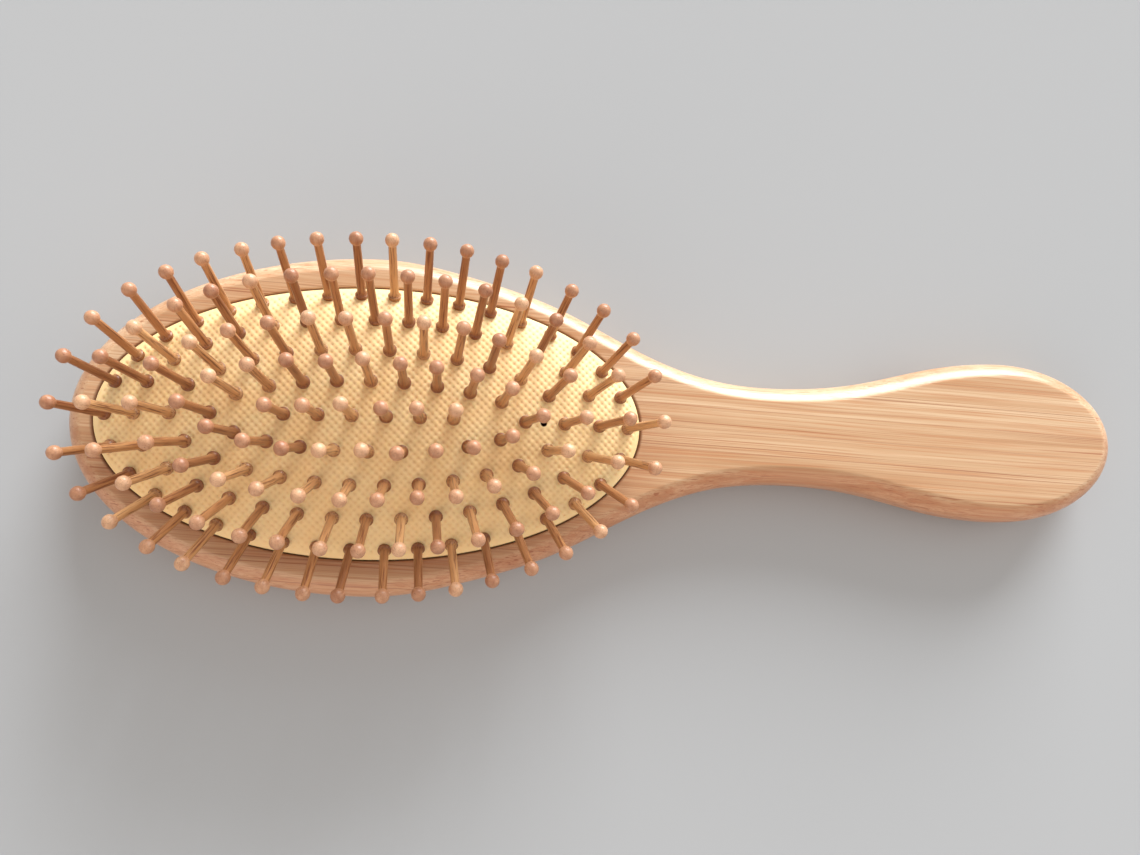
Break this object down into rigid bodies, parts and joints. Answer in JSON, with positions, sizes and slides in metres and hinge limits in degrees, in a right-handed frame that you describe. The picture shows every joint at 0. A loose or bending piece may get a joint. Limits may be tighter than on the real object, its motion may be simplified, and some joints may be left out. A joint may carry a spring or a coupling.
{
  "type": "paddle brush",
  "caption": "Oval paddle hair brush with a laminated bamboo body and handle, a domed rubber air cushion and ball-tipped bamboo pins that sink with the cushion.",
  "frame": {"origin": "on the flat back face, under the middle of the cushion", "axes": "+X along the handle, +Y across the head, +Z the way the pins point"},
  "size_m": [0.24, 0.0768, 0.0407],
  "materials": {
    "board_bamboo": "smooth sanded laminated bamboo with a thin satin finish",
    "pin_bamboo": "turned, steamed brown bamboo, satin",
    "rubber": "matt natural rubber with a fine embossed texture"
  },
  "bodies": {
    "brush_body": {"bamboo_strip_01": "board_bamboo", "bamboo_strip_02": "board_bamboo", "bamboo_strip_03": "board_bamboo", "bamboo_strip_04": "board_bamboo", "bamboo_strip_05": "board_bamboo", "bamboo_strip_06_grip": "board_bamboo", "bamboo_strip_06_head": "board_bamboo", "bamboo_strip_07": "board_bamboo", "bamboo_strip_08": "board_bamboo", "bamboo_strip_09": "board_bamboo", "bamboo_strip_10": "board_bamboo", "bamboo_strip_11": "board_bamboo", "bamboo_strip_12": "board_bamboo", "bamboo_strip_13_grip": "board_bamboo", "bamboo_strip_13_head": "board_bamboo", "bamboo_strip_14_grip": "board_bamboo", "bamboo_strip_14_head": "board_bamboo", "bamboo_strip_15": "board_bamboo", "bamboo_strip_16": "board_bamboo", "rubber_cushion": "rubber"},
    "centre_row_pins_01": {"centre_row_pins_01": "pin_bamboo"},
    "centre_row_pins_02": {"centre_row_pins_02": "pin_bamboo"},
    "centre_row_pins_03": {"centre_row_pins_03": "pin_bamboo"},
    "inner_ring_pins_01": {"inner_ring_pins_01": "pin_bamboo"},
    "inner_ring_pins_02": {"inner_ring_pins_02": "pin_bamboo"},
    "inner_ring_pins_03": {"inner_ring_pins_03": "pin_bamboo"},
    "inner_ring_pins_04": {"inner_ring_pins_04": "pin_bamboo"},
    "inner_ring_pins_05": {"inner_ring_pins_05": "pin_bamboo"},
    "inner_ring_pins_06": {"inner_ring_pins_06": "pin_bamboo"},
    "outer_ring_pins_01": {"outer_ring_pins_01": "pin_bamboo"},
    "outer_ring_pins_02": {"outer_ring_pins_02": "pin_bamboo"},
    "outer_ring_pins_03": {"outer_ring_pins_03": "pin_bamboo"},
    "outer_ring_pins_04": {"outer_ring_pins_04": "pin_bamboo"},
    "outer_ring_pins_05": {"outer_ring_pins_05": "pin_bamboo"},
    "outer_ring_pins_06": {"outer_ring_pins_06": "pin_bamboo"},
    "outer_ring_pins_07": {"outer_ring_pins_07": "pin_bamboo"},
    "outer_ring_pins_08": {"outer_ring_pins_08": "pin_bamboo"},
    "outer_ring_pins_09": {"outer_ring_pins_09": "pin_bamboo"},
    "outer_ring_pins_10": {"outer_ring_pins_10": "pin_bamboo"},
    "second_ring_pins_01": {"second_ring_pins_01": "pin_bamboo"},
    "second_ring_pins_02": {"second_ring_pins_02": "pin_bamboo"},
    "second_ring_pins_03": {"second_ring_pins_03": "pin_bamboo"},
    "second_ring_pins_04": {"second_ring_pins_04": "pin_bamboo"},
    "second_ring_pins_05": {"second_ring_pins_05": "pin_bamboo"},
    "second_ring_pins_06": {"second_ring_pins_06": "pin_bamboo"},
    "second_ring_pins_07": {"second_ring_pins_07": "pin_bamboo"},
    "second_ring_pins_08": {"second_ring_pins_08": "pin_bamboo"},
    "second_ring_pins_09": {"second_ring_pins_09": "pin_bamboo"},
    "third_ring_pins_01": {"third_ring_pins_01": "pin_bamboo"},
    "third_ring_pins_02": {"third_ring_pins_02": "pin_bamboo"},
    "third_ring_pins_03": {"third_ring_pins_03": "pin_bamboo"},
    "third_ring_pins_04": {"third_ring_pins_04": "pin_bamboo"},
    "third_ring_pins_05": {"third_ring_pins_05": "pin_bamboo"},
    "third_ring_pins_06": {"third_ring_pins_06": "pin_bamboo"},
    "third_ring_pins_07": {"third_ring_pins_07": "pin_bamboo"}
  },
  "joints": [
    {"name": "cushion_press", "type": "slide", "parent": "brush_body", "child": "centre_row_pins_01", "axis": [0, 0, -1], "range_m": [0, 0.004], "stiffness_N_per_m": 1500, "deforming": ["rubber_cushion"]},
    {"name": "centre_row_press_02", "type": "slide", "parent": "brush_body", "child": "centre_row_pins_02", "axis": [0, 0, -1], "range_m": [0, 0.00394]},
    {"name": "centre_row_press_03", "type": "slide", "parent": "brush_body", "child": "centre_row_pins_03", "axis": [0, 0, -1], "range_m": [0, 0.00379]},
    {"name": "inner_ring_press_01", "type": "slide", "parent": "brush_body", "child": "inner_ring_pins_01", "axis": [0, 0, -1], "range_m": [0, 0.00314]},
    {"name": "inner_ring_press_02", "type": "slide", "parent": "brush_body", "child": "inner_ring_pins_02", "axis": [0, 0, -1], "range_m": [0, 0.00337]},
    {"name": "inner_ring_press_03", "type": "slide", "parent": "brush_body", "child": "inner_ring_pins_03", "axis": [0, 0, -1], "range_m": [0, 0.0036]},
    {"name": "inner_ring_press_04", "type": "slide", "parent": "brush_body", "child": "inner_ring_pins_04", "axis": [0, 0, -1], "range_m": [0, 0.00375]},
    {"name": "inner_ring_press_05", "type": "slide", "parent": "brush_body", "child": "inner_ring_pins_05", "axis": [0, 0, -1], "range_m": [0, 0.00384]},
    {"name": "inner_ring_press_06", "type": "slide", "parent": "brush_body", "child": "inner_ring_pins_06", "axis": [0, 0, -1], "range_m": [0, 0.00386]},
    {"name": "outer_ring_press_01", "type": "slide", "parent": "brush_body", "child": "outer_ring_pins_01", "axis": [0, 0, -1], "range_m": [0, 0.00057]},
    {"name": "outer_ring_press_02", "type": "slide", "parent": "brush_body", "child": "outer_ring_pins_02", "axis": [0, 0, -1], "range_m": [0, 0.00059]},
    {"name": "outer_ring_press_03", "type": "slide", "parent": "brush_body", "child": "outer_ring_pins_03", "axis": [0, 0, -1], "range_m": [0, 0.00063]},
    {"name": "outer_ring_press_04", "type": "slide", "parent": "brush_body", "child": "outer_ring_pins_04", "axis": [0, 0, -1], "range_m": [0, 0.00067]},
    {"name": "outer_ring_press_05", "type": "slide", "parent": "brush_body", "child": "outer_ring_pins_05", "axis": [0, 0, -1], "range_m": [0, 0.00072]},
    {"name": "outer_ring_press_06", "type": "slide", "parent": "brush_body", "child": "outer_ring_pins_06", "axis": [0, 0, -1], "range_m": [0, 0.00076]},
    {"name": "outer_ring_press_07", "type": "slide", "parent": "brush_body", "child": "outer_ring_pins_07", "axis": [0, 0, -1], "range_m": [0, 0.00079]},
    {"name": "outer_ring_press_08", "type": "slide", "parent": "brush_body", "child": "outer_ring_pins_08", "axis": [0, 0, -1], "range_m": [0, 0.00082]},
    {"name": "outer_ring_press_09", "type": "slide", "parent": "brush_body", "child": "outer_ring_pins_09", "axis": [0, 0, -1], "range_m": [0, 0.00083]},
    {"name": "outer_ring_press_10", "type": "slide", "parent": "brush_body", "child": "outer_ring_pins_10", "axis": [0, 0, -1], "range_m": [0, 0.00084]},
    {"name": "second_ring_press_01", "type": "slide", "parent": "brush_body", "child": "second_ring_pins_01", "axis": [0, 0, -1], "range_m": [0, 0.00158]},
    {"name": "second_ring_press_02", "type": "slide", "parent": "brush_body", "child": "second_ring_pins_02", "axis": [0, 0, -1], "range_m": [0, 0.00167]},
    {"name": "second_ring_press_03", "type": "slide", "parent": "brush_body", "child": "second_ring_pins_03", "axis": [0, 0, -1], "range_m": [0, 0.00184]},
    {"name": "second_ring_press_04", "type": "slide", "parent": "brush_body", "child": "second_ring_pins_04", "axis": [0, 0, -1], "range_m": [0, 0.00201]},
    {"name": "second_ring_press_05", "type": "slide", "parent": "brush_body", "child": "second_ring_pins_05", "axis": [0, 0, -1], "range_m": [0, 0.00215]},
    {"name": "second_ring_press_06", "type": "slide", "parent": "brush_body", "child": "second_ring_pins_06", "axis": [0, 0, -1], "range_m": [0, 0.00227]},
    {"name": "second_ring_press_07", "type": "slide", "parent": "brush_body", "child": "second_ring_pins_07", "axis": [0, 0, -1], "range_m": [0, 0.00235]},
    {"name": "second_ring_press_08", "type": "slide", "parent": "brush_body", "child": "second_ring_pins_08", "axis": [0, 0, -1], "range_m": [0, 0.0024]},
    {"name": "second_ring_press_09", "type": "slide", "parent": "brush_body", "child": "second_ring_pins_09", "axis": [0, 0, -1], "range_m": [0, 0.00242]},
    {"name": "third_ring_press_01", "type": "slide", "parent": "brush_body", "child": "third_ring_pins_01", "axis": [0, 0, -1], "range_m": [0, 0.00246]},
    {"name": "third_ring_press_02", "type": "slide", "parent": "brush_body", "child": "third_ring_pins_02", "axis": [0, 0, -1], "range_m": [0, 0.00263]},
    {"name": "third_ring_press_03", "type": "slide", "parent": "brush_body", "child": "third_ring_pins_03", "axis": [0, 0, -1], "range_m": [0, 0.00288]},
    {"name": "third_ring_press_04", "type": "slide", "parent": "brush_body", "child": "third_ring_pins_04", "axis": [0, 0, -1], "range_m": [0, 0.00309]},
    {"name": "third_ring_press_05", "type": "slide", "parent": "brush_body", "child": "third_ring_pins_05", "axis": [0, 0, -1], "range_m": [0, 0.00324]},
    {"name": "third_ring_press_06", "type": "slide", "parent": "brush_body", "child": "third_ring_pins_06", "axis": [0, 0, -1], "range_m": [0, 0.00334]},
    {"name": "third_ring_press_07", "type": "slide", "parent": "brush_body", "child": "third_ring_pins_07", "axis": [0, 0, -1], "range_m": [0, 0.00339]}
  ],
  "couplings": [
    {"joint": "centre_row_press_02", "follows": "cushion_press", "ratio": 0.9832},
    {"joint": "centre_row_press_03", "follows": "cushion_press", "ratio": 0.9475},
    {"joint": "inner_ring_press_01", "follows": "cushion_press", "ratio": 0.7829},
    {"joint": "inner_ring_press_02", "follows": "cushion_press", "ratio": 0.8418},
    {"joint": "inner_ring_press_03", "follows": "cushion_press", "ratio": 0.8979},
    {"joint": "inner_ring_press_04", "follows": "cushion_press", "ratio": 0.936},
    {"joint": "inner_ring_press_05", "follows": "cushion_press", "ratio": 0.9578},
    {"joint": "inner_ring_press_06", "follows": "cushion_press", "ratio": 0.9649},
    {"joint": "outer_ring_press_01", "follows": "cushion_press", "ratio": 0.1414},
    {"joint": "outer_ring_press_02", "follows": "cushion_press", "ratio": 0.1457},
    {"joint": "outer_ring_press_03", "follows": "cushion_press", "ratio": 0.1554},
    {"joint": "outer_ring_press_04", "follows": "cushion_press", "ratio": 0.1669},
    {"joint": "outer_ring_press_05", "follows": "cushion_press", "ratio": 0.178},
    {"joint": "outer_ring_press_06", "follows": "cushion_press", "ratio": 0.188},
    {"joint": "outer_ring_press_07", "follows": "cushion_press", "ratio": 0.1963},
    {"joint": "outer_ring_press_08", "follows": "cushion_press", "ratio": 0.2026},
    {"joint": "outer_ring_press_09", "follows": "cushion_press", "ratio": 0.2069},
    {"joint": "outer_ring_press_10", "follows": "cushion_press", "ratio": 0.209},
    {"joint": "second_ring_press_01", "follows": "cushion_press", "ratio": 0.3949},
    {"joint": "second_ring_press_02", "follows": "cushion_press", "ratio": 0.4165},
    {"joint": "second_ring_press_03", "follows": "cushion_press", "ratio": 0.4585},
    {"joint": "second_ring_press_04", "follows": "cushion_press", "ratio": 0.5011},
    {"joint": "second_ring_press_05", "follows": "cushion_press", "ratio": 0.5375},
    {"joint": "second_ring_press_06", "follows": "cushion_press", "ratio": 0.5663},
    {"joint": "second_ring_press_07", "follows": "cushion_press", "ratio": 0.587},
    {"joint": "second_ring_press_08", "follows": "cushion_press", "ratio": 0.5994},
    {"joint": "second_ring_press_09", "follows": "cushion_press", "ratio": 0.6035},
    {"joint": "third_ring_press_01", "follows": "cushion_press", "ratio": 0.6146},
    {"joint": "third_ring_press_02", "follows": "cushion_press", "ratio": 0.6575},
    {"joint": "third_ring_press_03", "follows": "cushion_press", "ratio": 0.7191},
    {"joint": "third_ring_press_04", "follows": "cushion_press", "ratio": 0.7705},
    {"joint": "third_ring_press_05", "follows": "cushion_press", "ratio": 0.8085},
    {"joint": "third_ring_press_06", "follows": "cushion_press", "ratio": 0.8334},
    {"joint": "third_ring_press_07", "follows": "cushion_press", "ratio": 0.8456}
  ]
}
